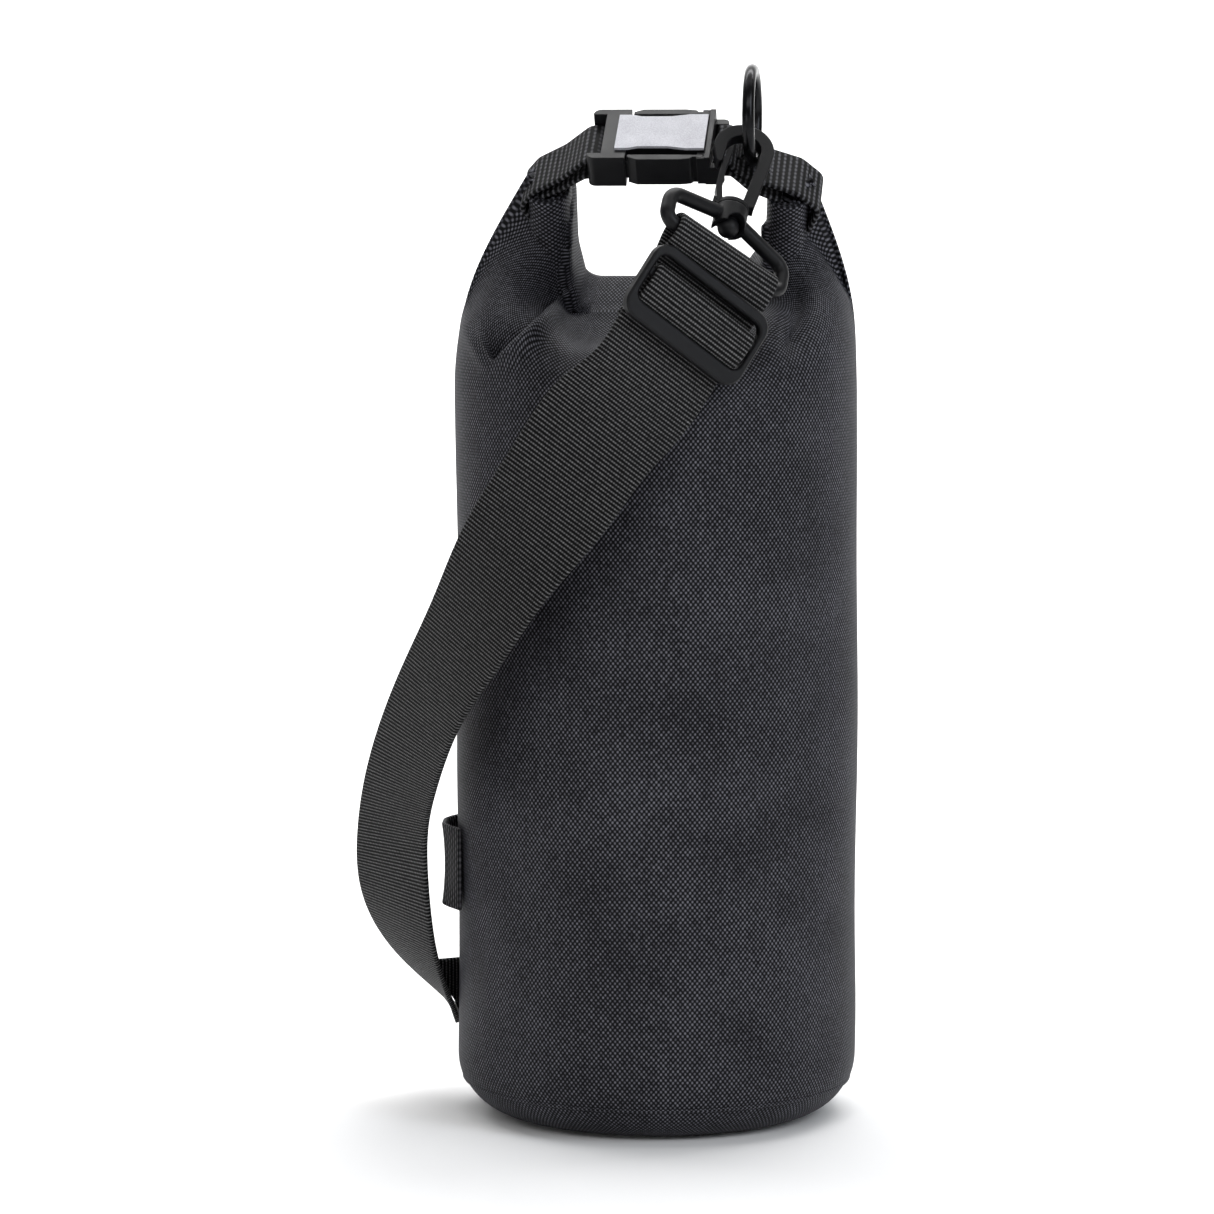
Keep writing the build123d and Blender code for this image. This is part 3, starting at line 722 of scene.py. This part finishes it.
def side_loop():
    """Loop of webbing standing off the left side, its top and bottom corners flared."""
    path = rounded_path([(-61.9, 19.7), (-65.5, 14.2), (-68, 7), (-68.2, -4.5), (-65.8, -11), (-62.8, -17.9)],
                        [8, 8, 10, 8], 0.6)
    centres = np.c_[path, np.full(len(path), SIDE_LOOP_Z)]
    loop = ribbon("side_tab", centres, (0, 0, 1), 2 * SIDE_LOOP_HALF, 1.3, 20)
    for vertex in loop.data.vertices:
        x, y, z = vertex.co / MM
        flare = abs(z - SIDE_LOOP_Z) / SIDE_LOOP_HALF
        out = -1.0 + 1.6 * flare ** 2.2
        radial = unit((x, y, 0))
        fade = smoothstep(19, 9, abs(y - 1))
        vertex.co += Vector(radial * out * fade * 0.6 * MM)
    return dress(loop, CLOSURE_WEB)


# The strap below the slider: its middle and the direction of its width at each station.
ROUTE = [((-17.5, -78.0, 223.5), (0.79, -0.05, -0.61)), ((-30, -78.5, 206), (0.78, -0.27, -0.56)),
         ((-47.5, -72.5, 181.5), (0.66, -0.55, -0.51)), ((-58.6, -62.5, 161), (0.57, -0.70, -0.43)),
         ((-70, -48, 140), (0.52, -0.79, -0.33)), ((-80.5, -28, 112), (0.57, -0.81, -0.16)),
         ((-84.8, -10, 87.6), (0.6, -0.8, 0)), ((-83.6, 0, 64.7), (0.59, -0.80, -0.1)),
         ((-75.6, 13, 43), (0.35, -0.94, 0)), ((-68.4, 20, 32.4), (0.10, -0.99, 0.11)),
         ((-64.9, 32, 23.5), (0.02, -0.99, 0.1))]
BEHIND_SLIDER = 5.8       # from the slider's middle plane to the strap's two layers
SLIDER_HALF = 12.65       # half the slider's length along the strap


def behind_slider(height, extra=0.0):
    return SLIDER.o + SLIDER.z * height + SLIDER.y * (BEHIND_SLIDER + extra)


def strap():
    """One length of webbing: back layer, fold round the loop's bar, front layer, then down to its end."""
    top = behind_slider(8.5)
    down = top - LOOP_BAR
    down = unit(down - LOOP_AXIS * (down @ LOOP_AXIS))
    back = np.cross(down, LOOP_AXIS)
    if back @ SLIDER.y < 0:
        back = -back
    radius = 2.6 + STRAP_T / 2
    layer = STRAP_T / 2 + 0.03
    stations = []
    for height in (-SLIDER_HALF, -4, 2, 7):
        stations.append((behind_slider(height, layer), SLIDER.x))
    for turn in np.radians([15, 50, 90, 130, 165]):
        round_bar = back * radius * math.cos(turn) - down * radius * math.sin(turn)
        stations.append((LOOP_BAR + round_bar, LOOP_AXIS))
    for height in (7, 2, -4, -SLIDER_HALF, -SLIDER_HALF - 12):
        stations.append((behind_slider(height, -layer if height > -13 else -0.4), SLIDER.x))
    stations += [(np.array(c, float), np.array(a, float)) for c, a in ROUTE]
    table = np.array([np.r_[c, unit(a)] for c, a in stations])
    return smooth_through(table, 0.9)


def build_strap():
    curve = strap()
    piece = ribbon("shoulder_strap", curve[:, :3], curve[:, 3:], STRAP_W, STRAP_T, 22)
    return dress(piece, STRAP_WEB)


def build_wrap():
    """The turn of webbing over the slider's centre bar."""
    path = rounded_path([(0.6, -7.0), (-1.2, -5.0), (-2.3, -2.4), (-2.4, 5.0), (2.3, 5.0), (2.4, -6.0)],
                        [2, 4, 2.2, 2.2], 0.4)
    centres = SLIDER.at(np.zeros(len(path)), path[:, 0], path[:, 1])
    return dress(ribbon("slider_wrap", centres, SLIDER.x, STRAP_W, STRAP_T, 20), STRAP_WEB)


def build_tab():
    """Upright tab sewn into the bag's side, its outer edge cut to the strap's slope."""
    root, out = np.array([-61.2, 19.05]), unit((-0.894, -0.447))
    reach = [(TAB_LOW, 3.3), (32.4, 5.2), (43.0, 13.3), (TAB_HIGH, 14.8)]
    heights = np.linspace(TAB_LOW, TAB_HIGH, 26)
    lengths = np.interp(heights, *zip(*reach))
    side = np.array([-out[1], out[0]])
    columns, verts, uvs_at = 9, [], []
    for z, length in zip(heights, lengths):
        for face in (1, -1):
            for k in range(columns):
                u = length * k / (columns - 1)
                round_off = min(1.0, min(z - TAB_LOW, TAB_HIGH - z) / 1.2 + 0.35)
                x, y = root + out * u + side * (face * 0.85 * round_off + 0.5 * math.sin(u * 0.2))
                verts.append((x, y, z))
                uvs_at.append((z, u))
    per_row = 2 * columns
    faces = []
    for r in range(len(heights) - 1):
        low, high = r * per_row, (r + 1) * per_row
        for k in range(columns - 1):
            faces.append([low + k, low + k + 1, high + k + 1, high + k])
            far_low, far_high = low + columns + k, high + columns + k
            faces.append([far_low + 1, far_low, far_high, far_high + 1])
        faces.append([low, low + columns, high + columns, high])
        end = columns - 1
        faces.append([low + columns + end, low + end, high + end, high + columns + end])
    for base in (0, (len(heights) - 1) * per_row):
        for k in range(columns - 1):
            faces.append([base + k, base + k + 1, base + columns + k + 1, base + columns + k])
    uvs = [uvs_at[v] for face in faces for v in face]
    return dress(tidy_mesh(make_object("anchor_tab", verts, faces, uvs), 0.001), STRAP_WEB)


# ---------------------------------------------------------------- assemble

skin = build_skin()
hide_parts("bag_body")
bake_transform(skin)

base = build_base()
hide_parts("base_panel")
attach(base, "bag")
lip = build_seam()
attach(lip, "bag")

roll = build_roll()
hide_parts("roll_left", "roll_right")
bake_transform(roll)

web_left, web_right = closure_webbing()
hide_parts("closure_webbing_left")
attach(web_left, "bag")
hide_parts("closure_webbing_right")
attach(web_right, "buckle_side")

keeper_loop = keeper()
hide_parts("ring_keeper")
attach(keeper_loop, "buckle_side")

tab = side_loop()
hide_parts("side_loop")
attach(tab, "bag")

long_strap = build_strap()
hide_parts("strap_upper", "strap_lower")
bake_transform(long_strap)

wrap = build_wrap()
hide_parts("strap_wrap")
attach(wrap, "slider")

anchor = build_tab()
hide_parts("strap_anchor_tab")
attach(anchor, "bag")

HARD = {"stiffener_strip": STIFFENER, "buckle_plate": PLATE, "ring": RING}
for node in ("stiffener_strip", "buckle_socket", "buckle_plate", "buckle_plug", "prong_front", "prong_rear",
             "ring", "hook_body", "hook_gate", "swivel_loop", "tri_glide"):
    dress(NODES[node], HARD.get(node, BLACK))


# ---------------------------------------------------------------- floor, light, camera

def build_stage():
    """A pale floor that curves up into a plain backdrop."""
    profile = [(-3.0, 0.0), (1.2, 0.0)]
    for angle in np.linspace(0, math.pi / 2, 12)[1:]:
        profile.append((1.2 + 0.9 * math.sin(angle), 0.9 * (1 - math.cos(angle))))
    profile.append((2.1, 3.5))
    verts = [(x, y, z - 0.0002) for y, z in profile for x in (-4.0, 4.0)]
    faces = [[2 * k, 2 * k + 1, 2 * k + 3, 2 * k + 2] for k in range(len(profile) - 1)]
    mesh = bpy.data.meshes.new("studio_floor")
    mesh.from_pydata(verts, [], faces)
    for polygon in mesh.polygons:
        polygon.use_smooth = True
    floor = bpy.data.objects.new("studio_floor", mesh)
    bpy.context.scene.collection.objects.link(floor)
    material = bpy.data.materials.new("pale_floor")
    material.use_nodes = True
    shader = material.node_tree.nodes["Principled BSDF"]
    shader.inputs["Base Color"].default_value = (0.93, 0.93, 0.93, 1)
    shader.inputs["Roughness"].default_value = 0.9
    mesh.materials.append(material)


def area_light(name, place, aim, size, power, colour=(1, 1, 1)):
    data = bpy.data.lights.new(name, "AREA")
    data.shape = "RECTANGLE"
    data.size, data.size_y = size
    data.energy = power
    data.color = colour
    light = bpy.data.objects.new(name, data)
    light.location = place
    light.rotation_euler = (Vector(aim) - Vector(place)).to_track_quat("-Z", "Y").to_euler()
    bpy.context.scene.collection.objects.link(light)


def build_light():
    area_light("key_right", (0.95, -0.85, 0.75), (0.03, 0.0, 0.22), (0.45, 0.8), 6.5, (0.88, 0.93, 1.0))
    area_light("front_left", (-0.85, -1.25, 0.12), (0.0, 0.0, 0.06), (0.35, 0.4), 2.0)
    area_light("top_soft", (0.0, 0.25, 1.5), (0.0, 0.25, 0.0), (1.8, 1.2), 9)
    area_light("backdrop", (0.0, 0.75, 1.9), (0.0, 1.9, 0.5), (3.2, 0.7), 75)
    area_light("floor_wash", (0.0, -1.9, 1.3), (0.0, -0.7, 0.0), (2.4, 0.6), 13)
    world = bpy.data.worlds.new("studio")
    world.use_nodes = True
    world.node_tree.nodes["Background"].inputs["Color"].default_value = (1, 1, 1, 1)
    world.node_tree.nodes["Background"].inputs["Strength"].default_value = 0.22
    bpy.context.scene.world = world
    bpy.context.scene.view_settings.view_transform = "Standard"
    bpy.context.scene.view_settings.look = "None"


def build_camera():
    data = bpy.data.cameras.new("camera")
    data.lens = 130.0
    data.sensor_width = 36.0
    camera = bpy.data.objects.new("camera", data)
    camera.location = (-0.016, -1.4, 0.285)
    camera.rotation_euler = (math.radians(85.0), 0, 0)
    bpy.context.scene.collection.objects.link(camera)
    bpy.context.scene.camera = camera


build_stage()
build_light()
build_camera()
